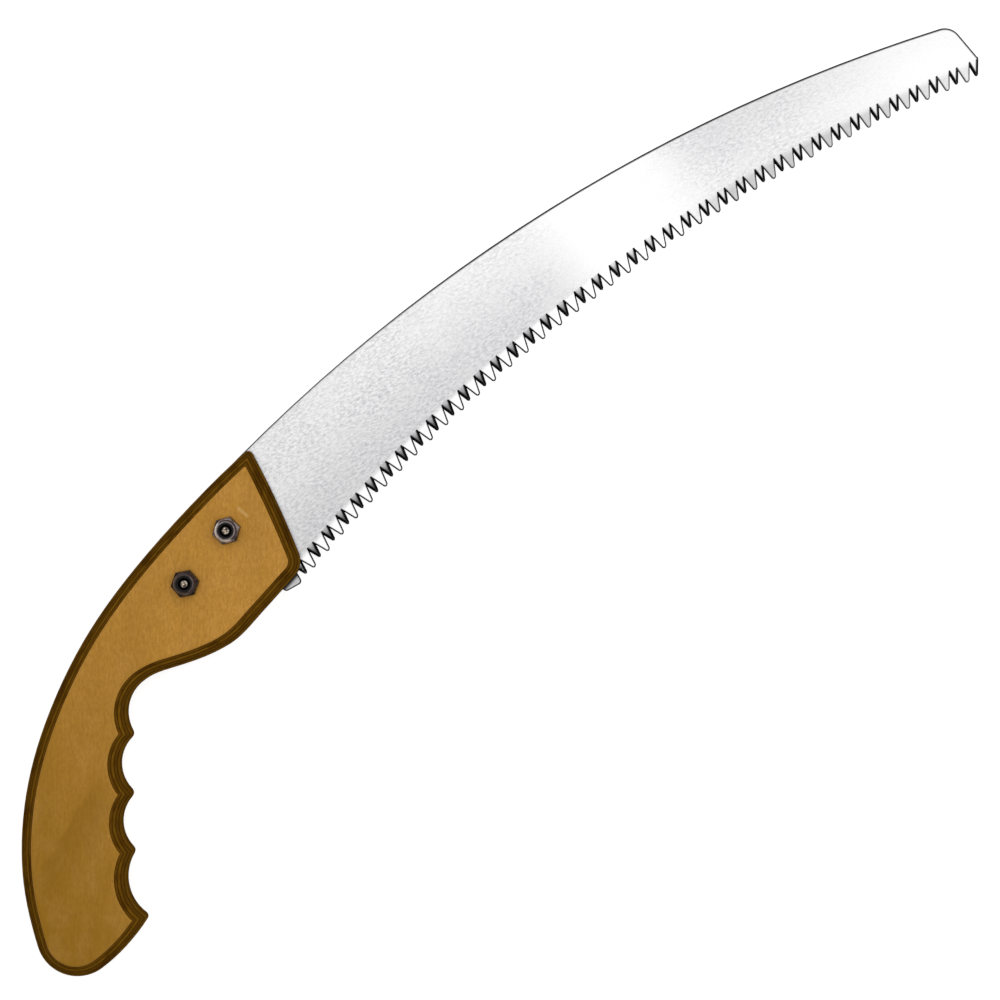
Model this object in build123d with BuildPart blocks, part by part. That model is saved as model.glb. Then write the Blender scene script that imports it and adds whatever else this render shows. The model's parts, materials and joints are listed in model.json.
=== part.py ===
"""Curved pull-cut pruning saw: a fixed toothed blade bolted into the slot of a plywood pistol-grip handle.

The saw lies on its side. Z = 0 is the plane that the handle's lower face rests on and +Z points up through
the handle's thickness. The origin is midway between the two blade bolts, +X runs along the chord of the
tooth line towards the blade's tip, and the teeth point towards -Y. All sizes are in millimetres.
"""
import os
from math import cos, radians, sin, sqrt, tan

from build123d import *

INCH = 25.4

# Plywood: thin sanded face veneers over an odd number of core veneers.
HANDLE_THICKNESS = 16.0
CORE_VENEER = 1.15
CORE_COUNT = 13
FACE_VENEER = (HANDLE_THICKNESS - CORE_COUNT * CORE_VENEER) / 2
MID_HEIGHT = HANDLE_THICKNESS / 2

# Handle edges: a wide 45 degree bevel round both faces, eased where it meets them.
EDGE_BEVEL = 4.9
EASED_EDGE = 0.6
EASED_MITRE = 0.8

# Corners of the handle's outline, and how far each is rounded.
NOSE = (38.4, 24.4)
NOSE_RADIUS = 1.8
NOSE_MITRE = (35.5, 21.8)
HEAD_CORNER = (28.1, -25.1)
HEAD_CORNER_RADIUS = 8.5
CUSPS = [(-64.5, -39.1), (-77.8, -57.7), (-90.9, -75.8)]
CUSP_RADIUS = 2.6
TOE = (-102.1, -99.5)
TOE_RADIUS = 2.0

# Slot sawn into the head by a circular blade, exactly as wide as one core veneer and as the saw blade.
SLOT_RADIUS = 92.0
SLOT_CENTRE = (56.0, -4.0)

# Blade: 13 in of teeth at 6 teeth per inch, on an arc that is hollow towards the work.
BLADE_THICKNESS = CORE_VENEER
BLADE_BOTTOM = MID_HEIGHT - BLADE_THICKNESS / 2
TOOTH_ARC_CENTRE = (192.8, -681.0)
TIP_LINE_RADIUS = 672.55
TOOTH_DEPTH = 7.3
ROOT_LINE_RADIUS = TIP_LINE_RADIUS + TOOTH_DEPTH
FIRST_TOOTH_ANGLE = 104.24
LAST_TOOTH_ANGLE = 76.12
TOOTH_COUNT = 79
SPINE_CENTRE = (136.9, -637.3)
SPINE_RADIUS = 669.75
BLADE_END_X = 358.0
BLADE_END_RADIUS = 7.0
EDGE_BREAK = 0.5

# Teeth: both flanks are bevelled, from alternate sides of the blade, and set to alternate sides. Reaches are
# measured along the root line. The teeth bevelled from above are ground a little smaller.
HEEL_FLANK_REACH = 2.05
TOE_FLANK_REACH = 3.92
TOOTH_FLAT = 1.6
TIP_CORNER = 0.5
FACE_CORNER = 0.15
SHARP_FLAT = 0.2
SHARP_CORNER = 0.05
BEVEL_SHIFT = 1.5
SMALL_FLANK_LOSS = 0.5
SMALL_DEPTH_LOSS = 0.9
SET_ANGLE = 2.5
ROOT_EMBED = 0.6
GULLET_FLOOR = 0.12
HEEL_SLOPE = (HEEL_FLANK_REACH - TOOTH_FLAT / 2) / TOOTH_DEPTH
TOE_SLOPE = (TOE_FLANK_REACH - TOOTH_FLAT / 2) / TOOTH_DEPTH
SHARP_DEPTH = (HEEL_FLANK_REACH + TOE_FLANK_REACH - 2 * BEVEL_SHIFT - SHARP_FLAT) / (HEEL_SLOPE + TOE_SLOPE)

# Heel of the blade: a notch before the first tooth, a lug below the handle, and a tang round the two bolts.
HEEL_NOTCH_ANGLE = FIRST_TOOTH_ANGLE + 0.12
END_ROOT_ANGLE = LAST_TOOTH_ANGLE - 0.28
LUG_TOP = (24.3, -26.5)
LUG_CORNERS = [(23.8, -30.1), (16.6, -29.2)]
LUG_RADIUS = 1.5
TANG_SHOULDER_X = 20.0
TANG_CORNERS = [(13.0, 16.6), (8.0, -10.8)]
TANG_CORNER_RADIUS = 3.0
TANG_TOP = (-16.0, 8.5)
TANG_TIP = (-24.6, -6.9)
TANG_BOTTOM = (-9.2, -15.5)

# A point on each edge of the blade, clear of the teeth, whose sharpness is taken off by EDGE_BREAK.
BROKEN_EDGES = [
    (180.0, 31.1),
    (356.8, -6.0),
    (358.6, -16.0),
    (24.0, -28.0),
    (23.3, -29.6),
    (20.2, -29.6),
    (16.9, -29.0),
    (12.5, -20.0),
]

# Blade bolts: No. 10 flat-head machine screws with 3/8 in nylon-insert lock nuts.
FRONT_BOLT = (12.6, 3.52)
REAR_BOLT = (-12.6, -3.52)
BOLTS = {"front": FRONT_BOLT, "rear": REAR_BOLT}
SCREW_DIAMETER = 4.83
SCREW_HOLE = 5.2
SCREW_TOP = 21.3
SCREW_END_CHAMFER = 0.9
DIMPLE_RADIUS = 0.8
DIMPLE_DEPTH = 0.35
SCREW_HEAD_DIAMETER = 9.6
SCREW_HEAD_ANGLE = 82
SCREW_HEAD_BASE = 0.15
SCREW_HEAD_RIM = SCREW_HEAD_BASE + 0.25
HEAD_CONE = (SCREW_HEAD_DIAMETER - SCREW_DIAMETER) / 2 / tan(radians(SCREW_HEAD_ANGLE / 2))
SCREW_HEAD_TOP = SCREW_HEAD_RIM + HEAD_CONE
CROSS_WIDTH = 1.3
CROSS_LENGTH = 5.0
CROSS_DEPTH = 2.6
CROSS_TAPER = 24
NUT_ACROSS_FLATS = 3 / 8 * INCH
NUT_CORNER_RADIUS = NUT_ACROSS_FLATS / 2 / cos(radians(30))
NUT_CORNER_DROP = 0.45
NUT_CHAMFER_RADIUS = 4.66
NUT_ANGLE = {"front": -21.4, "rear": -25.4}
NUT_SINK = 0.4
NUT_DENT_MARGIN = 0.3
NUT_BASE = HANDLE_THICKNESS - NUT_SINK
NUT_HEX_TOP = NUT_BASE + 3.9
NUT_TOP = NUT_BASE + 6.1
NUT_COLLAR_RADIUS = 4.35
NUT_COLLAR_ROUND = 1.1
NUT_LIP_RADIUS = 2.95
NUT_LIP_THICKNESS = 0.5
RING_RADIUS = 3.65
RING_TOP = NUT_TOP - NUT_LIP_THICKNESS
RING_HEIGHT = 1.6


def on_arc(centre, radius, angle):
    """Point of an arc at an angle in degrees from +X."""
    return (centre[0] + radius * cos(radians(angle)), centre[1] + radius * sin(radians(angle)))


def above(centre, radius, x):
    """Point of an arc at a given X, on its upper side."""
    return (x, centre[1] + sqrt(radius**2 - (x - centre[0]) ** 2))


def handle_outline():
    """Grip, finger grooves and head: a swept back, an arc per finger, and an arc over the slotted front."""
    back_points = [
        NOSE,
        (5.6, 19.9),
        (-25.6, 13.2),
        (-55.8, 3.4),
        (-84.2, -11.2),
        (-109.7, -30.3),
        (-130.1, -54.3),
        (-143.9, -83.5),
    ]
    with BuildLine() as outline:
        back = Spline(*back_points, tangents=[(-1, -0.08), (-0.33, -0.94)])
        butt = TangentArc(back @ 1, (-128.5, -105.0), tangent=back % 1)
        TangentArc(butt @ 1, TOE, tangent=butt % 1)
        ThreePointArc(TOE, (-101.5, -84.8), CUSPS[2])
        ThreePointArc(CUSPS[2], (-88.6, -63.6), CUSPS[1])
        ThreePointArc(CUSPS[1], (-75.8, -45.2), CUSPS[0])
        first_groove = ThreePointArc(CUSPS[0], (-61.2, -29.8), (-50.3, -24.1))
        head_edge = Line((3.6, -30.1), HEAD_CORNER)
        belly_points = [first_groove @ 1, (-35.2, -27.3), (-19.9, -31.7), (-11.5, -32.6), head_edge @ 0]
        Spline(*belly_points, tangents=[first_groove % 1, head_edge % 0])
        ThreePointArc(HEAD_CORNER, (34.3, 0.5), NOSE)
    return outline.line


def blade_outline(end_corner):
    """Blade body down to the tooth roots, its blunt end, the heel lug and the tang that the bolts hold."""
    edge_radius = ROOT_LINE_RADIUS - GULLET_FLOOR
    first_root = on_arc(TOOTH_ARC_CENTRE, edge_radius, HEEL_NOTCH_ANGLE)
    middle_root = on_arc(TOOTH_ARC_CENTRE, edge_radius, 90)
    last_root = on_arc(TOOTH_ARC_CENTRE, edge_radius, END_ROOT_ANGLE)
    spine_top = on_arc(SPINE_CENTRE, SPINE_RADIUS, 90)
    shoulder = above(SPINE_CENTRE, SPINE_RADIUS, TANG_SHOULDER_X)
    with BuildLine() as outline:
        ThreePointArc(first_root, middle_root, last_root)
        Line(last_root, end_corner)
        ThreePointArc(end_corner, spine_top, shoulder)
        Polyline(shoulder, TANG_CORNERS[0], TANG_TOP)
        ThreePointArc(TANG_TOP, TANG_TIP, TANG_BOTTOM)
        Polyline(TANG_BOTTOM, TANG_CORNERS[1], LUG_CORNERS[1], LUG_CORNERS[0], LUG_TOP, first_root)
    return outline.line


def nearest(shapes, points, height=0):
    """The vertex or edge that lies nearest to each point at a height."""
    return [shapes.sort_by_distance((*point, height))[0] for point in points]


def tooth_profile(heel_reach, toe_reach, depth, corner):
    """Tooth seen square to the blade: local X towards the spine, local Y towards the handle."""
    heel_foot = heel_reach - HEEL_SLOPE * GULLET_FLOOR
    toe_foot = TOE_SLOPE * GULLET_FLOOR - toe_reach
    corner_depth = depth - corner
    return [
        (ROOT_EMBED, heel_foot),
        (-GULLET_FLOOR, heel_foot),
        (-corner_depth, heel_reach - HEEL_SLOPE * corner_depth),
        (-depth, heel_reach - HEEL_SLOPE * depth - corner),
        (-depth, TOE_SLOPE * depth - toe_reach + corner),
        (-corner_depth, TOE_SLOPE * corner_depth - toe_reach),
        (-GULLET_FLOOR, toe_foot),
        (ROOT_EMBED, toe_foot),
    ]


def ground_tooth(flank_loss, depth_loss):
    """Tooth with its broad face up and both flanks bevelled below, in the frame of its root line."""
    heel_reach = HEEL_FLANK_REACH - flank_loss
    toe_reach = TOE_FLANK_REACH - flank_loss
    depth = TOOTH_DEPTH - depth_loss
    face = (heel_reach - EDGE_BREAK, toe_reach - EDGE_BREAK, depth - EDGE_BREAK, FACE_CORNER)
    broadest = (heel_reach, toe_reach, depth, TIP_CORNER)
    sharp = (HEEL_FLANK_REACH - BEVEL_SHIFT, TOE_FLANK_REACH - BEVEL_SHIFT, SHARP_DEPTH, SHARP_CORNER)
    top = BLADE_THICKNESS / 2
    with BuildPart() as tooth:
        for height, profile in {top: face, top - EDGE_BREAK: broadest, -top: sharp}.items():
            with BuildSketch(Plane.XY.offset(height)):
                Polygon(*tooth_profile(*profile), align=None)
        loft(ruled=True)
    return tooth.part


def tooth_place(number):
    """Where one tooth's root line sits, square to the arc, with tooth 0 next to the handle."""
    angle = FIRST_TOOTH_ANGLE + (LAST_TOOTH_ANGLE - FIRST_TOOTH_ANGLE) * number / (TOOTH_COUNT - 1)
    return Location((*on_arc(TOOTH_ARC_CENTRE, ROOT_LINE_RADIUS, angle), MID_HEIGHT), (0, 0, angle))


def save(piece, name):
    """Label one piece and write it under its node name."""
    piece.part.label = name
    export_step(piece.part, f"parts/{name}.step")


os.makedirs("parts", exist_ok=True)

# Handle: corners are bevelled sharp, then rounded straight down, so each bevel keeps its mitre at a cusp.
with BuildSketch() as handle_shape:
    with BuildLine():
        add(handle_outline())
    make_face()
    fillet(nearest(vertices(), [HEAD_CORNER]), radius=HEAD_CORNER_RADIUS)

with BuildPart() as rounded_blank:
    with BuildSketch():
        add(handle_shape.sketch)
        fillet(nearest(vertices(), CUSPS), radius=CUSP_RADIUS)
        fillet(nearest(vertices(), [TOE]), radius=TOE_RADIUS)
        fillet(nearest(vertices(), [NOSE]), radius=NOSE_RADIUS)
    extrude(amount=HANDLE_THICKNESS)

with BuildPart() as handle:
    with BuildSketch():
        add(handle_shape.sketch)
    extrude(amount=HANDLE_THICKNESS)
    chamfer(faces().filter_by(Axis.Z).edges(), length=EDGE_BEVEL)
    for height in (EDGE_BEVEL / 2, HANDLE_THICKNESS - EDGE_BEVEL / 2):
        fillet(nearest(edges(), [NOSE_MITRE], height), radius=EASED_MITRE)
    add(rounded_blank.part, mode=Mode.INTERSECT)
    fillet(faces().filter_by(Axis.Z).edges(), radius=EASED_EDGE)
    for place, bolt in BOLTS.items():
        with Locations(bolt):
            Hole(radius=SCREW_HOLE / 2)
        with BuildSketch(Plane.XY.offset(NUT_BASE)):
            with Locations(Location(bolt, NUT_ANGLE[place])):
                RegularPolygon(radius=NUT_CORNER_RADIUS + NUT_DENT_MARGIN, side_count=6)
        extrude(amount=NUT_SINK, mode=Mode.SUBTRACT)
        with BuildSketch():
            with Locations(bolt):
                Circle(SCREW_HEAD_DIAMETER / 2)
        extrude(amount=SCREW_HEAD_RIM, mode=Mode.SUBTRACT)
        with BuildSketch(Plane.XY.offset(SCREW_HEAD_RIM)):
            with Locations(bolt):
                Circle(SCREW_HEAD_DIAMETER / 2)
        extrude(amount=HEAD_CONE, taper=SCREW_HEAD_ANGLE / 2, mode=Mode.SUBTRACT)
    with BuildSketch(Plane.XY.offset(BLADE_BOTTOM)):
        with Locations(SLOT_CENTRE):
            Circle(SLOT_RADIUS)
    extrude(amount=BLADE_THICKNESS, mode=Mode.SUBTRACT)

# Veneers: the handle is a stack of sheets, so it is sliced at every glue line.
glue_lines = [FACE_VENEER + CORE_VENEER * number for number in range(CORE_COUNT + 1)]
levels = [0, *glue_lines, HANDLE_THICKNESS]
core_names = [f"handle_core_veneer_{number:02d}" for number in range(1, CORE_COUNT + 1)]
veneer_names = ["handle_lower_face_veneer", *core_names, "handle_upper_face_veneer"]
for name, bottom, top in zip(veneer_names, levels, levels[1:]):
    with BuildPart() as veneer:
        add(handle.part)
        split(bisect_by=Plane.XY.offset(bottom), keep=Keep.TOP)
        split(bisect_by=Plane.XY.offset(top), keep=Keep.BOTTOM)
    save(veneer, name)

# Blade: a flat body with ground teeth fused on. All but the first two, which start inside the slot, are set.
tooth_places = [tooth_place(number) for number in range(TOOTH_COUNT)]
bend_line = Axis((ROOT_EMBED, 0, 0), (0, 1, 0))
tooth = ground_tooth(0, 0)
small_tooth = ground_tooth(SMALL_FLANK_LOSS, SMALL_DEPTH_LOSS)
raised_tooth = tooth.rotate(bend_line, SET_ANGLE)
lowered_tooth = mirror(small_tooth.rotate(bend_line, SET_ANGLE), about=Plane.XY, mode=Mode.PRIVATE)
flat_small_tooth = mirror(small_tooth, about=Plane.XY, mode=Mode.PRIVATE)

with BuildPart() as blade:
    with BuildSketch(Plane.XY.offset(BLADE_BOTTOM)):
        blade_end = above(SPINE_CENTRE, SPINE_RADIUS, BLADE_END_X)
        with BuildLine():
            add(blade_outline(blade_end))
        make_face()
        fillet(nearest(vertices(), [blade_end]), radius=BLADE_END_RADIUS)
        fillet(nearest(vertices(), LUG_CORNERS), radius=LUG_RADIUS)
        fillet(nearest(vertices(), TANG_CORNERS), radius=TANG_CORNER_RADIUS)
        with Locations(*BOLTS.values()):
            Circle(SCREW_HOLE / 2, mode=Mode.SUBTRACT)
    extrude(amount=BLADE_THICKNESS)
    for height in (BLADE_BOTTOM, BLADE_BOTTOM + BLADE_THICKNESS):
        chamfer(nearest(edges(), BROKEN_EDGES, height), length=EDGE_BREAK)
    with Locations(tooth_places[0]):
        add(flat_small_tooth)
    with Locations(tooth_places[1]):
        add(tooth)
    with Locations(*tooth_places[2::2]):
        add(lowered_tooth)
    with Locations(*tooth_places[3::2]):
        add(raised_tooth)
save(blade, "blade")

# Screw: a countersunk head below with a cross recess, a plain shank, and a chamfered end with a dimple.
with BuildPart() as screw_blank:
    with BuildSketch(Plane.XZ):
        with BuildLine():
            Polyline(
                (0, SCREW_HEAD_BASE),
                (SCREW_HEAD_DIAMETER / 2, SCREW_HEAD_BASE),
                (SCREW_HEAD_DIAMETER / 2, SCREW_HEAD_RIM),
                (SCREW_DIAMETER / 2, SCREW_HEAD_TOP),
                (SCREW_DIAMETER / 2, SCREW_TOP - SCREW_END_CHAMFER),
                (SCREW_DIAMETER / 2 - SCREW_END_CHAMFER, SCREW_TOP),
                (DIMPLE_RADIUS, SCREW_TOP),
                (0, SCREW_TOP - DIMPLE_DEPTH),
                close=True,
            )
        make_face()
    revolve(axis=Axis.Z)
    with BuildSketch(Plane.XY.offset(SCREW_HEAD_BASE)):
        Rectangle(CROSS_LENGTH, CROSS_WIDTH)
        Rectangle(CROSS_WIDTH, CROSS_LENGTH)
    extrude(amount=CROSS_DEPTH, taper=CROSS_TAPER, mode=Mode.SUBTRACT)

# Lock nut: a hexagon with its upper corners turned off, and a round collar crimped over a nylon ring.
with BuildPart() as nut_blank:
    with BuildSketch(Plane.XY.offset(NUT_BASE)):
        RegularPolygon(radius=NUT_CORNER_RADIUS, side_count=6)
    extrude(amount=NUT_HEX_TOP - NUT_BASE)
    with BuildSketch(Plane.XZ):
        with BuildLine():
            Polyline(
                (0, NUT_BASE),
                (NUT_CORNER_RADIUS, NUT_BASE),
                (NUT_CORNER_RADIUS, NUT_HEX_TOP - NUT_CORNER_DROP),
                (NUT_CHAMFER_RADIUS, NUT_HEX_TOP),
                (0, NUT_HEX_TOP),
                close=True,
            )
        make_face()
    revolve(axis=Axis.Z, mode=Mode.INTERSECT)
    with BuildSketch(Plane.XY.offset(NUT_BASE)):
        Circle(NUT_COLLAR_RADIUS)
    extrude(amount=NUT_TOP - NUT_BASE)
    fillet(faces().sort_by(Axis.Z)[-1].edges(), radius=NUT_COLLAR_ROUND)
    with BuildSketch(Plane.XY.offset(NUT_BASE)):
        Circle(SCREW_DIAMETER / 2)
    extrude(amount=NUT_TOP - NUT_BASE, mode=Mode.SUBTRACT)
    with BuildSketch(Plane.XY.offset(NUT_TOP)):
        Circle(NUT_LIP_RADIUS)
    extrude(amount=-NUT_LIP_THICKNESS, mode=Mode.SUBTRACT)
    with BuildSketch(Plane.XY.offset(RING_TOP)):
        Circle(RING_RADIUS)
    extrude(amount=-RING_HEIGHT, mode=Mode.SUBTRACT)

with BuildPart() as ring_blank:
    with BuildSketch(Plane.XY.offset(RING_TOP)):
        Circle(RING_RADIUS)
        Circle(SCREW_DIAMETER / 2, mode=Mode.SUBTRACT)
    extrude(amount=-RING_HEIGHT)

fasteners = {"screw": screw_blank, "lock_nut": nut_blank, "nut_nylon_ring": ring_blank}
for place, bolt in BOLTS.items():
    for kind, blank in fasteners.items():
        with BuildPart() as fastener:
            with Locations(Location((*bolt, 0), (0, 0, NUT_ANGLE[place]))):
                add(blank.part)
        save(fastener, f"{place}_{kind}")
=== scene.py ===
"""Looks of a curved pruning saw: plywood pistol grip, steel blade with ground teeth, plated fasteners."""

import json
from math import radians

import bpy
from mathutils import Matrix, Vector

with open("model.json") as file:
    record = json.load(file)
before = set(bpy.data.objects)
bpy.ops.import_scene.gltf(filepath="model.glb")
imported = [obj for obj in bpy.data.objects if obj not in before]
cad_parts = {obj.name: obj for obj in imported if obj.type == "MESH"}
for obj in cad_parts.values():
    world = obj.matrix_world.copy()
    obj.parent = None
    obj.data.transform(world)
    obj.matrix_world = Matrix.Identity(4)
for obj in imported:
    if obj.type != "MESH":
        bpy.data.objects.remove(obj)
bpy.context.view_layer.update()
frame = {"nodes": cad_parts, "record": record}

# Lengths in metres, in the frame of the CAD model: X runs along the blade, Z through the handle's thickness.
# A pair is a range over which one look fades into another.

# Handle
FACE_VENEER = 0.000525
CORE_VENEER = 0.00115
GLUE_LINE = 0.00011
MID_HEIGHT = 0.008
SHADED_MIDDLE = (0.0066, 0.0032)
PALE_FACE_X = 0.0
DARK_FACE_X = -0.17
GRAIN_ANGLE = radians(53.6)
# A short dent beside the front nut, which carries a painted highlight.
DENT = (0.0218, 0.0056, 0.0)
DENT_ALONG = (0.235, -0.972, 0.0)
DENT_ACROSS = (0.972, 0.235, 0.0)
DENT_RAGGEDNESS = 0.0012
DENT_SIDE = (0.0011, 0.0002)
DENT_END = (0.0036, 0.0020)
FIGURE_START = (-0.0851, -0.0465, 0.0)
FIGURE_ALONG = (-0.927, -0.376, 0.0)
FIGURE_ACROSS = (-0.376, 0.927, 0.0)
FIGURE_RAGGEDNESS = 0.004
FIGURE_RAGGED_SIDE = (0.0030, 0.0010)
FIGURE_SOFT_SIDE = (-0.015, -0.001)
FIGURE_UPPER_FADE = (-0.004, 0.010)
FIGURE_LOWER_FADE = (0.056, 0.034)

# Blade
SPINE_CENTRE = (0.1369, -0.6373, 0.0)
BLADE_END = (0.3586, -0.0135, 0.0)
BLADE_END_OUTWARDS = (0.998, 0.065, 0.0)
BLADE_CORNER_CENTRE = (0.35137, -0.0102, 0.0)
BLADE_CORNER_OUTWARDS = (0.794, 0.608, 0.0)
HEAD_EDGE = (0.0281, -0.0251, 0.0)
HEAD_EDGE_OUTWARDS = (0.198, -0.980, 0.0)
MOTTLE_ANGLE = radians(-8)
SHADED_STEEL = (0.713, 0.705, 0.713)
RIM_STRENGTH = 0.88

# Blade: ranges of X
HEEL_SHADE_X = (0.215, 0.145)
SPINE_SHADE_START_X = (0.225, 0.258)
SPINE_SHADE_END_X = (0.352, 0.315)
MIDDLE_HIGHLIGHT_START_X = (0.168, 0.210)
MIDDLE_HIGHLIGHT_END_X = (0.258, 0.188)
PALER_END_X = (0.260, 0.355)
FAINT_SPINE_X = (0.17, 0.06)
GREYER_EDGE_X = (0.23, 0.30)
DARK_SMALL_TEETH_X = (0.25, 0.18)
GREYER_TEETH_X = (0.215, 0.25)
PALER_TEETH_X = (0.29, 0.37)
FAINTER_STROKE_X = (0.22, 0.33)
HANDLE_SHADOW_X = (0.0285, 0.0265)

# Blade: ranges of the distance from the centre of the tooth arc
HEEL_SHADE_DEPTH = (0.714, 0.680)
SPINE_SHADE_DEPTH = (0.682, 0.704)
PALER_END_DEPTH = (0.700, 0.682)
END_RIM_DEPTH = (0.6790, 0.6800)
LARGE_TEETH_DEPTH = (0.6803, 0.6772)
SMALL_TEETH_DEPTH = (0.67985, 0.6762)
GREYER_EDGE_DEPTH = (0.6800, 0.6797)

# Blade: other ranges
SPINE_RIM_RADIUS = (0.66865, 0.66915)
SPINE_EDGE_RADIUS = (0.6680, 0.6686)
CORNER_RIM_RADIUS = (0.0059, 0.0064)
CORNER_REACH = (0.0050, 0.0053)
END_RIM = (-0.0011, -0.0006)
SMALL_TOOTH_STROKE = (0.00155, 0.0009)
LARGE_TOOTH_STROKE = (0.00095, 0.00045)
HEEL_TOOTH_SIDE = (0.0031, 0.0024)
LUG_SHADOW = (0.0003, 0.0019)
HANDLE_SHADOW_START = (-0.002, 0.0)

# Teeth: each has a steep flank towards the heel and a shallower one towards the toe. Every second tooth is
# ground from above and is smaller, by the losses given here.
TOOTH_ARC_CENTRE = (0.1928, -0.6810, 0.0)
TOOTH_ROOT_RADIUS = 0.67985
TOOTH_DEPTH = 0.0073
HEEL_FLANK_REACH = 0.00205
TOE_FLANK_REACH = 0.00392
HEEL_FLANK_SLOPE = 0.171
TOE_FLANK_SLOPE = 0.427
SMALL_TOOTH_ANGLE = radians(104.24)
TOOTH_PITCH_ANGLE = radians(0.3605128)
SMALL_TOOTH_FLANK_LOSS = 0.0005
SMALL_TOOTH_DEPTH_LOSS = 0.0009
HEEL_TOOTH = (0.0305, -0.0242, 0.0)
HEEL_TOOTH_ACROSS = (0.971, 0.240, 0.0)

# Fasteners
FRONT_BOLT = (0.0126, 0.00352, 0.0)
REAR_BOLT = (-0.0126, -0.00352, 0.0)
HEXAGON_START_RADIUS = (0.00425, 0.0045)
NUT_HOLLOW_RADIUS = (0.0037, 0.0031)
BARE_END_RADIUS = (0.0015, 0.0009)
BARE_END_HEIGHT = (0.0205, 0.0208)
REAR_NUT_X = (-0.006, -0.007)

# Sockets of a Mix node that mixes colours
MIX_FACTOR = 0
MIX_A = 6
MIX_B = 7
MIX_RESULT = 2


class Nodes:
    """A material's node tree, with one short call for each kind of node."""

    def __init__(self, name):
        self.material = bpy.data.materials.new(name)
        self.material.use_nodes = True
        self.tree = self.material.node_tree
        self.shader = self.tree.nodes["Principled BSDF"]

    def add(self, kind, inputs=(), **settings):
        node = self.tree.nodes.new(kind)
        for key, value in settings.items():
            setattr(node, key, value)
        for key, value in dict(inputs).items():
            self.set(node.inputs[key], value)
        return node

    def set(self, socket, value):
        if isinstance(value, bpy.types.NodeSocket):
            self.tree.links.new(value, socket)
        elif isinstance(value, tuple) and len(value) == 3 and socket.type == "RGBA":
            socket.default_value = (*value, 1)
        else:
            socket.default_value = value

    def finish(self, **values):
        """Sets the shader's own inputs, given with _ for each space."""
        for key, value in values.items():
            self.set(self.shader.inputs[key.replace("_", " ")], value)
        return self.material

    def place(self):
        """Place on the object, in metres."""
        return self.add("ShaderNodeTexCoord").outputs["Object"]

    def facing(self):
        """Direction the surface faces, in the object's frame."""
        return self.add("ShaderNodeTexCoord").outputs["Normal"]

    def split(self, vector):
        return self.add("ShaderNodeSeparateXYZ", {"Vector": vector}).outputs

    def vector(self, operation, a, b, output="Vector"):
        return self.add("ShaderNodeVectorMath", {0: a, 1: b}, operation=operation).outputs[output]

    def along(self, vector, origin, direction):
        """Distance from an origin along a direction."""
        return self.vector("DOT_PRODUCT", self.vector("SUBTRACT", vector, origin), direction, "Value")

    def radius(self, vector, centre):
        """Distance from a vertical line through a point."""
        flat = self.vector("MULTIPLY", vector, (1.0, 1.0, 0.0))
        return self.vector("DISTANCE", flat, centre, "Value")

    def stretch(self, vector, scale, angle=0.0):
        """Coordinates turned about Z so that X runs at that angle, then scaled along each axis."""
        turned = self.add("ShaderNodeVectorRotate", {"Vector": vector, "Angle": -angle}, rotation_type="Z_AXIS")
        return self.vector("MULTIPLY", turned.outputs[0], scale)

    def math(self, operation, a, b=0.0, c=0.0):
        return self.add("ShaderNodeMath", {0: a, 1: b, 2: c}, operation=operation).outputs[0]

    def product(self, value, *others):
        for other in others:
            value = self.math("MULTIPLY", value, other)
        return value

    def step(self, value, low, high, to_low=0.0, to_high=1.0):
        """Smooth change from to_low to to_high while value goes from low to high."""
        inputs = {"Value": value, "From Min": low, "From Max": high, "To Min": to_low, "To Max": to_high}
        return self.add("ShaderNodeMapRange", inputs, interpolation_type="SMOOTHSTEP").outputs[0]

    def noise(self, vector, scale=1.0, detail=2.0, roughness=0.5, distortion=0.0):
        inputs = {"Vector": vector, "Scale": scale, "Detail": detail, "Roughness": roughness}
        return self.add("ShaderNodeTexNoise", {**inputs, "Distortion": distortion}).outputs[0]

    def mix(self, factor, a, b, blend="MIX"):
        node = self.add("ShaderNodeMix", data_type="RGBA", blend_type=blend)
        self.set(node.inputs[MIX_FACTOR], factor)
        self.set(node.inputs[MIX_A], a)
        self.set(node.inputs[MIX_B], b)
        return node.outputs[MIX_RESULT]

    def tint(self, colour, pattern, low, high, strength, other):
        """Colour that another colour covers, up to a strength, while a pattern goes from low to high."""
        return self.mix(self.step(pattern, low, high, 0, strength), colour, other)

    def bump(self, height, distance, strength):
        inputs = {"Height": height, "Distance": distance, "Strength": strength}
        return self.add("ShaderNodeBump", inputs).outputs[0]


def grip_figure(n, place, cloud):
    """Strength of the dark diagonal figure in the grip: one ragged side, one soft side and faded ends."""
    across = n.along(place, FIGURE_START, FIGURE_ACROSS)
    ragged = n.math("MULTIPLY_ADD", cloud, FIGURE_RAGGEDNESS, n.math("SUBTRACT", across, FIGURE_RAGGEDNESS / 2))
    along = n.along(place, FIGURE_START, FIGURE_ALONG)
    sides = n.product(n.step(ragged, *FIGURE_RAGGED_SIDE), n.step(ragged, *FIGURE_SOFT_SIDE, 0, 0.42))
    ends = n.product(n.step(along, *FIGURE_UPPER_FADE), n.step(along, *FIGURE_LOWER_FADE))
    return n.product(sides, ends)


def dent_with_highlight(n, place, cloud):
    """Strength of the short dent beside the front nut, which also sets the painted highlight on it."""
    across = n.math("MULTIPLY_ADD", cloud, DENT_RAGGEDNESS, n.along(place, DENT, DENT_ACROSS))
    aside = n.math("ABSOLUTE", n.math("SUBTRACT", across, DENT_RAGGEDNESS / 2))
    lengthwise = n.math("ABSOLUTE", n.along(place, DENT, DENT_ALONG))
    return n.product(n.step(aside, *DENT_SIDE, 0, 0.36), n.step(lengthwise, *DENT_END))


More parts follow.
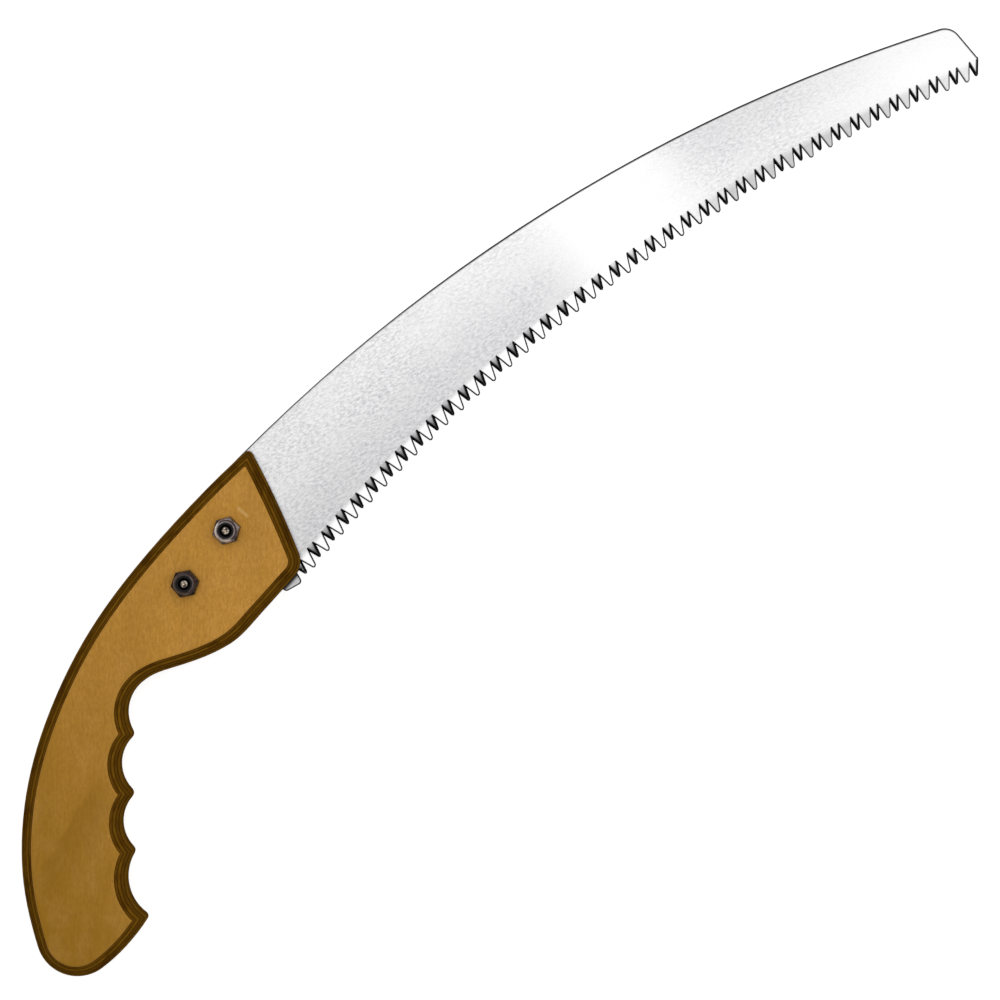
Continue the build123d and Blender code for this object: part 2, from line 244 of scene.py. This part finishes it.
def face_wood():
    """Oiled birch face veneer: fine grain, short pores, soft figure, darker towards the butt of the grip."""
    n = Nodes("plywood_face")
    place = n.place()

    def grain(along, across, **settings):
        """Noise with one scale along the veneer's grain and one across it."""
        return n.noise(n.stretch(place, (along, across, across), GRAIN_ANGLE), **settings)

    wave = grain(9, 60, detail=3, distortion=0.4)
    cloud = grain(70, 110, detail=5, roughness=0.6)
    fibre = grain(160, 1300, detail=3, roughness=0.6)
    speckle = grain(620, 1100, detail=3, roughness=0.7)
    pore = grain(420, 2600, detail=1)
    dent_and_highlight = dent_with_highlight(n, place, cloud)

    towards_butt = n.step(n.split(place)["X"], PALE_FACE_X, DARK_FACE_X)
    colour = n.mix(towards_butt, (0.586, 0.285, 0.046), (0.282, 0.135, 0.003))
    colour = n.tint(colour, wave, 0.35, 0.68, 0.22, (0.27, 0.125, 0.006))
    colour = n.tint(colour, cloud, 0.40, 0.70, 0.20, (0.62, 0.33, 0.10))
    colour = n.mix(grip_figure(n, place, cloud), colour, (0.25, 0.115, 0.004))
    colour = n.tint(colour, fibre, 0.30, 0.70, 0.15, (0.20, 0.09, 0.006))
    colour = n.tint(colour, speckle, 0.38, 0.62, 0.27, (0.24, 0.11, 0.008))
    colour = n.tint(colour, pore, 0.64, 0.74, 0.26, (0.16, 0.075, 0.008))
    # Painted highlight on the short dent beside the front nut; the dent itself is in the bump below.
    colour = n.mix(dent_and_highlight, colour, (0.80, 0.50, 0.20))
    height = n.math("SUBTRACT", n.math("MULTIPLY_ADD", pore, -0.6, fibre), dent_and_highlight)
    return n.finish(
        Base_Color=colour,
        Roughness=n.step(fibre, 0.3, 0.7, 0.5, 0.62),
        Specular_IOR_Level=0.1,
        Normal=n.bump(height, distance=0.00006, strength=0.35),
    )


def core_wood(name, light, dark):
    """Edge of a core veneer, dark from the finish it soaked up, with painted shade towards the middle of the
    thickness and a darker glue line where it ends.
    """
    n = Nodes(name)
    place = n.place()
    z = n.split(place)["Z"]
    layer = n.math("DIVIDE", n.math("SUBTRACT", z, FACE_VENEER), CORE_VENEER)
    glue_share = GLUE_LINE / CORE_VENEER
    glue = n.step(n.math("PINGPONG", layer, 0.5), glue_share * 0.6, glue_share * 2.4, 1, 0)
    streak = n.noise(n.stretch(place, (260, 260, 2600)), detail=3, roughness=0.6)
    patch = n.noise(n.stretch(place, (110, 110, 300)), detail=3)
    from_middle = n.math("ABSOLUTE", n.math("SUBTRACT", z, MID_HEIGHT))
    colour = n.mix(n.step(streak, 0.3, 0.7), dark, light)
    # Painted shade on the edge towards the middle of the handle's thickness.
    colour = n.tint(colour, from_middle, *SHADED_MIDDLE, 0.36, (0.040, 0.018, 0.002))
    colour = n.tint(colour, patch, 0.50, 0.68, 0.55, (0.045, 0.014, 0.001))
    colour = n.mix(n.product(glue, 0.70), colour, (0.020, 0.009, 0.001))
    height = n.math("SUBTRACT", streak, n.product(glue, 0.8))
    return n.finish(
        Base_Color=colour,
        Roughness=0.7,
        Specular_IOR_Level=0.0,
        Normal=n.bump(height, distance=0.00012, strength=0.5),
    )


def blade_zones(n, colour, x, depth):
    """Painted shade at the heel and along the spine, a painted highlight in the middle, and paler steel at the
    end of the blade.
    """
    heel_shade = n.product(n.step(depth, *HEEL_SHADE_DEPTH), n.step(x, *HEEL_SHADE_X, 0, 0.60))
    colour = n.mix(heel_shade, colour, SHADED_STEEL, "MULTIPLY")
    spine_shade = n.product(
        n.step(depth, *SPINE_SHADE_DEPTH, 0.15, 0.5),
        n.step(x, *SPINE_SHADE_START_X),
        n.step(x, *SPINE_SHADE_END_X),
    )
    colour = n.mix(spine_shade, colour, SHADED_STEEL, "MULTIPLY")
    # Painted highlight in the middle of the blade, and paler steel towards the end.
    middle_highlight = n.product(n.step(x, *MIDDLE_HIGHLIGHT_START_X), n.step(x, *MIDDLE_HIGHLIGHT_END_X))
    paler_end = n.product(n.step(x, *PALER_END_X), n.step(depth, *PALER_END_DEPTH, 0.75, 1.0), 0.95)
    highlight_and_paler_end = n.math("MAXIMUM", middle_highlight, paler_end)
    return n.mix(n.product(highlight_and_paler_end, 0.85), colour, (0.68, 0.68, 0.68))


def blade_edge_reflection(n, colour, place, depth, from_spine_centre, faint_spine):
    """Painted dark reflection of the edge: a line along the spine, fainter towards the heel, round the corner
    and along the end.
    """
    spine = n.step(from_spine_centre, *SPINE_RIM_RADIUS, 0, RIM_STRENGTH)
    spine = n.product(spine, n.math("MULTIPLY_ADD", faint_spine, -0.7, 1.0))
    end = n.step(n.along(place, BLADE_END, BLADE_END_OUTWARDS), *END_RIM, 0, RIM_STRENGTH)
    end = n.product(end, n.step(depth, *END_RIM_DEPTH))
    corner = n.step(n.radius(place, BLADE_CORNER_CENTRE), *CORNER_RIM_RADIUS, 0, RIM_STRENGTH)
    outwards = n.along(place, BLADE_CORNER_CENTRE, BLADE_CORNER_OUTWARDS)
    corner = n.product(corner, n.step(outwards, *CORNER_REACH))
    edge_reflection = n.math("MAXIMUM", spine, n.math("MAXIMUM", end, corner))
    return n.mix(edge_reflection, colour, (0.03, 0.03, 0.03))


def inside_tooth(n, place, first, flank_loss=0.0, depth_loss=0.0):
    """Distance in from the outline of the nearest tooth, counting every second tooth from an angle."""
    from_centre = n.split(n.vector("SUBTRACT", place, TOOTH_ARC_CENTRE))
    angle = n.math("ARCTAN2", from_centre["Y"], from_centre["X"])
    arc = n.math("MULTIPLY", n.math("SUBTRACT", angle, first), TOOTH_ROOT_RADIUS)
    pitch = TOOTH_PITCH_ANGLE * TOOTH_ROOT_RADIUS
    aside = n.math("WRAP", arc, pitch, -pitch)
    below = n.math("SUBTRACT", TOOTH_ROOT_RADIUS, n.radius(place, TOOTH_ARC_CENTRE))
    heel = n.math("MULTIPLY_ADD", below, -HEEL_FLANK_SLOPE, HEEL_FLANK_REACH - flank_loss)
    toe = n.math("MULTIPLY_ADD", below, -TOE_FLANK_SLOPE, TOE_FLANK_REACH - flank_loss)
    flanks = n.math("MINIMUM", n.math("SUBTRACT", heel, aside), n.math("ADD", toe, aside))
    return n.math("MINIMUM", flanks, n.math("SUBTRACT", TOOTH_DEPTH - depth_loss, below))


def small_teeth(n, colour, place, x, depth, sideways, flat):
    """Teeth set downwards and ground from above: painted shade for their tilt, with a darker painted stroke
    along their outline.
    """
    tooth = n.product(n.step(sideways, -0.012, -0.04), flat)
    shade = n.product(n.step(depth, *SMALL_TEETH_DEPTH, 0.25, 0.97), n.step(x, *DARK_SMALL_TEETH_X, 0.1, 1))
    # Painted shade on the teeth set downwards, stronger towards the heel and the tips.
    colour = n.mix(n.product(tooth, shade), colour, (0.085, 0.085, 0.09))
    inside = inside_tooth(n, place, SMALL_TOOTH_ANGLE, SMALL_TOOTH_FLANK_LOSS, SMALL_TOOTH_DEPTH_LOSS)
    # Painted dark stroke that widens each tooth's dark bevel.
    stroke = n.product(tooth, n.step(inside, *SMALL_TOOTH_STROKE, 0, 0.97))
    return n.mix(stroke, colour, (0.010, 0.010, 0.010))


def large_teeth(n, colour, place, x, depth, sideways, flat):
    """Teeth set upwards, and the unset one by the handle: painted pale as a reflection, with a thin painted
    dark stroke, fainter towards the toe.
    """
    tooth = n.product(n.step(sideways, 0.012, 0.04), flat)
    from_heel_tooth = n.math("ABSOLUTE", n.along(place, HEEL_TOOTH, HEEL_TOOTH_ACROSS))
    tooth = n.math("MAXIMUM", tooth, n.step(from_heel_tooth, *HEEL_TOOTH_SIDE))
    tooth = n.product(tooth, n.step(depth, *LARGE_TEETH_DEPTH))
    # Painted reflection on the teeth set upwards: pale at the heel, greyer further along, paler again towards
    # the toe.
    face = n.mix(n.step(x, *GREYER_TEETH_X), (0.74, 0.74, 0.74), (0.355, 0.355, 0.355))
    face = n.mix(n.step(x, *PALER_TEETH_X), face, (0.56, 0.56, 0.56))
    colour = n.mix(n.product(tooth, 0.9), colour, face)
    inside = inside_tooth(n, place, SMALL_TOOTH_ANGLE - TOOTH_PITCH_ANGLE)
    # Painted dark stroke along each outline, fainter towards the toe.
    stroke = n.product(tooth, n.step(inside, *LARGE_TOOTH_STROKE, 0, 0.85))
    stroke_shade = n.mix(n.step(x, *FAINTER_STROKE_X), (0.07, 0.07, 0.07), (0.26, 0.26, 0.26))
    return n.mix(stroke, colour, stroke_shade)


def painted_handle_shadow(n, colour, place, x):
    """Painted shadow of the handle on the lug where it leaves the handle."""
    from_handle = n.along(place, HEAD_EDGE, HEAD_EDGE_OUTWARDS)
    # Painted shadow: dark next to the handle, fading out across the lug.
    lug_shadow = n.product(
        n.step(from_handle, *LUG_SHADOW, 1, 0.12),
        n.step(x, *HANDLE_SHADOW_X),
        n.step(from_handle, *HANDLE_SHADOW_START),
    )
    return n.mix(lug_shadow, colour, (0.02, 0.02, 0.021))


def blade_steel():
    """Cold-rolled blade sheet: pale and finely mottled, with ground bevels and edges painted dark for the dark
    they reflect, and painted shade, highlights and reflections on the face and teeth.
    """
    n = Nodes("saw_steel")
    place = n.place()
    x = n.split(place)["X"]
    facing = n.split(n.facing())
    flatness = n.math("ABSOLUTE", facing["Z"])
    flat = n.step(flatness, 0.9, 0.99)
    bevel = n.step(flatness, 0.97, 0.9)
    depth = n.radius(place, TOOTH_ARC_CENTRE)
    from_spine_centre = n.radius(place, SPINE_CENTRE)
    faint_spine = n.step(x, *FAINT_SPINE_X)
    grain = n.noise(n.stretch(place, (600, 1150, 1150), MOTTLE_ANGLE), detail=4, roughness=0.66, distortion=0.2)
    cloud = n.noise(n.stretch(place, (50, 90, 90)), detail=4, roughness=0.6)

    colour = n.mix(n.step(grain, 0.26, 0.74), (0.33, 0.326, 0.336), (0.68, 0.677, 0.68))
    colour = n.tint(colour, cloud, 0.35, 0.7, 0.35, (0.58, 0.58, 0.58))
    colour = blade_zones(n, colour, x, depth)
    colour = blade_edge_reflection(n, colour, place, depth, from_spine_centre, faint_spine)
    colour = small_teeth(n, colour, place, x, depth, facing["Y"], flat)
    colour = large_teeth(n, colour, place, x, depth, facing["Y"], flat)
    colour = painted_handle_shadow(n, colour, place, x)

    # Bevels and edges are painted nearly black for the dark they reflect, less dark on the teeth towards the
    # toe and along the spine by the heel.
    greyer_edge = n.product(
        n.step(flatness, 0.80, 0.75),
        n.step(x, *GREYER_EDGE_X),
        n.step(depth, *GREYER_EDGE_DEPTH),
    )
    greyer_spine_edge = n.product(faint_spine, n.step(from_spine_centre, *SPINE_EDGE_RADIUS))
    edge = n.mix(greyer_edge, (0.006, 0.006, 0.006), (0.19, 0.19, 0.19))
    edge = n.mix(greyer_spine_edge, edge, (0.10, 0.10, 0.10))
    return n.finish(
        Base_Color=n.mix(bevel, colour, edge),
        Metallic=1.0,
        Roughness=n.math("ADD", n.step(grain, 0.3, 0.7, 0.30, 0.42), n.product(bevel, 0.15)),
        Normal=n.bump(grain, distance=0.00005, strength=0.4),
    )


def plated_steel():
    """Dulled zinc plating with a brown film; the rear nut is painted darker as a dark reflection, and slopes
    get painted shade, with a painted highlight on those that face the grip.
    """
    n = Nodes("plated_steel")
    place = n.place()
    at = n.split(place)
    facing = n.split(n.facing())
    film = n.noise(place, 420, detail=4, roughness=0.6)
    glint = n.noise(place, 1300, detail=1)
    rear = n.step(at["X"], *REAR_NUT_X)
    from_bolts = n.math("MINIMUM", n.radius(place, FRONT_BOLT), n.radius(place, REAR_BOLT))
    stained = n.step(film, 0.35, 0.65)

    # The rear nut's colours are darker: painted dark reflection.
    bright = n.mix(rear, (0.38, 0.33, 0.315), (0.10, 0.078, 0.070))
    dull = n.mix(rear, (0.17, 0.135, 0.135), (0.030, 0.022, 0.019))
    colour = n.mix(stained, bright, dull)
    # Slopes are painted dark, with a painted highlight on those that face the grip.
    lit_slope_side = n.step(facing["X"], 0.03, -0.22)
    slope_highlight = n.mix(rear, (0.85, 0.79, 0.73), (0.15, 0.11, 0.09))
    slope = n.step(n.math("ABSOLUTE", facing["Z"]), 0.998, 0.90, 0, 0.9)
    colour = n.mix(slope, colour, n.mix(lit_slope_side, (0.075, 0.058, 0.062), slope_highlight))
    hexagon = n.mix(rear, (0.20, 0.16, 0.155), (0.035, 0.027, 0.024))
    hexagon = n.mix(stained, hexagon, (0.022, 0.017, 0.016))
    colour = n.mix(n.step(from_bolts, *HEXAGON_START_RADIUS), colour, hexagon)
    # Painted shade in the hollow of each nut.
    colour = n.tint(colour, from_bolts, *NUT_HOLLOW_RADIUS, 0.95, (0.010, 0.008, 0.007))
    # Bare screw end, with painted glints.
    bare_end_with_glints = n.product(
        n.step(from_bolts, *BARE_END_RADIUS),
        n.step(at["Z"], *BARE_END_HEIGHT),
        n.step(glint, 0.42, 0.58, 0.10, 1.0),
    )
    return n.finish(
        Base_Color=n.mix(bare_end_with_glints, colour, (0.46, 0.38, 0.30)),
        Metallic=1.0,
        Roughness=n.step(film, 0.3, 0.7, 0.18, 0.34),
        Normal=n.bump(film, distance=0.00003, strength=0.3),
    )


def nylon():
    """Charcoal nylon of the locking ring."""
    n = Nodes("nylon")
    mottle = n.noise(n.place(), 1500, detail=2)
    return n.finish(
        Base_Color=n.mix(mottle, (0.004, 0.0035, 0.0035), (0.011, 0.010, 0.010)),
        Roughness=0.5,
        Specular_IOR_Level=0.12,
        Normal=n.bump(mottle, distance=0.00002, strength=0.3),
    )


def softbox(name, place, target, size, power):
    """Square area light that looks at a point."""
    light = bpy.data.lights.new(name, "AREA")
    light.shape = "SQUARE"
    light.size = size
    light.energy = power
    lamp = bpy.data.objects.new(name, light)
    lamp.location = place
    lamp.rotation_euler = (Vector(target) - Vector(place)).to_track_quat("-Z", "Y").to_euler()
    lamp.visible_camera = False
    bpy.context.scene.collection.objects.link(lamp)


CORE_COLOURS = {
    "plywood_core_long_grain": ((0.188, 0.087, 0.006), (0.120, 0.053, 0.0038)),
    "plywood_core_cross_grain": ((0.143, 0.061, 0.004), (0.085, 0.036, 0.003)),
}
materials = {name: core_wood(name, light, dark) for name, (light, dark) in CORE_COLOURS.items()}
materials["plywood_face"] = face_wood()
materials["saw_steel"] = blade_steel()
materials["plated_steel"] = plated_steel()
materials["nylon"] = nylon()
for part in frame["record"]["subparts"]:
    frame["nodes"][part["node"]].material_slots[0].material = materials[part["material_slot"]]

# Floor: plain and pale, with a little light of its own so that the saw's shadow stays faint.
FLOOR_SIZE = 60
FLOOR_CENTRE = (0.1, -0.05, -0.0002)
bpy.ops.mesh.primitive_plane_add(size=FLOOR_SIZE, location=FLOOR_CENTRE)
floor = bpy.context.object
floor.name = "floor"
floor.data.materials.append(
    Nodes("floor").finish(
        Base_Color=(0.4, 0.4, 0.4),
        Roughness=0.9,
        Specular_IOR_Level=0.0,
        Emission_Color=(1, 1, 1),
        Emission_Strength=0.8,
    )
)

# Light: a white studio, a large softbox overhead, and a small one for the highlight on the blade's middle.
STUDIO_STRENGTH = 0.42
world = bpy.data.worlds.new("studio")
bpy.context.scene.world = world
world.use_nodes = True
background = world.node_tree.nodes["Background"]
background.inputs["Color"].default_value = (1, 1, 1, 1)
background.inputs["Strength"].default_value = STUDIO_STRENGTH
softbox("softbox_overhead", place=(0.60, 0.15, 1.7), target=(0.45, 0.1, 0.0), size=2.6, power=24)
softbox("softbox_blade", place=(0.316, 0.092, 1.3), target=(0.2, 0.015, 0.0), size=0.35, power=0.5)

# Camera: square to the flat of the saw, rolled so that the blade rises to the upper right.
CAMERA_ROLL = radians(36.4)
CAMERA_DISTANCE = 1.1
VIEW_CENTRE = Vector((0.1053, -0.0500, 0.008))
VIEW_WIDTH = 0.3922
SENSOR_WIDTH = 36
NEAREST = 0.05
FARTHEST = 50
camera_data = bpy.data.cameras.new("camera")
camera_data.sensor_width = SENSOR_WIDTH
camera_data.lens = SENSOR_WIDTH * CAMERA_DISTANCE / VIEW_WIDTH
camera_data.clip_start = NEAREST
camera_data.clip_end = FARTHEST
camera = bpy.data.objects.new("camera", camera_data)
camera.matrix_world = Matrix.Translation(VIEW_CENTRE + Vector((0, 0, CAMERA_DISTANCE))) @ Matrix.Rotation(
    -CAMERA_ROLL, 4, "Z"
)
bpy.context.scene.collection.objects.link(camera)
bpy.context.scene.camera = camera
bpy.context.scene.view_settings.view_transform = "Standard"
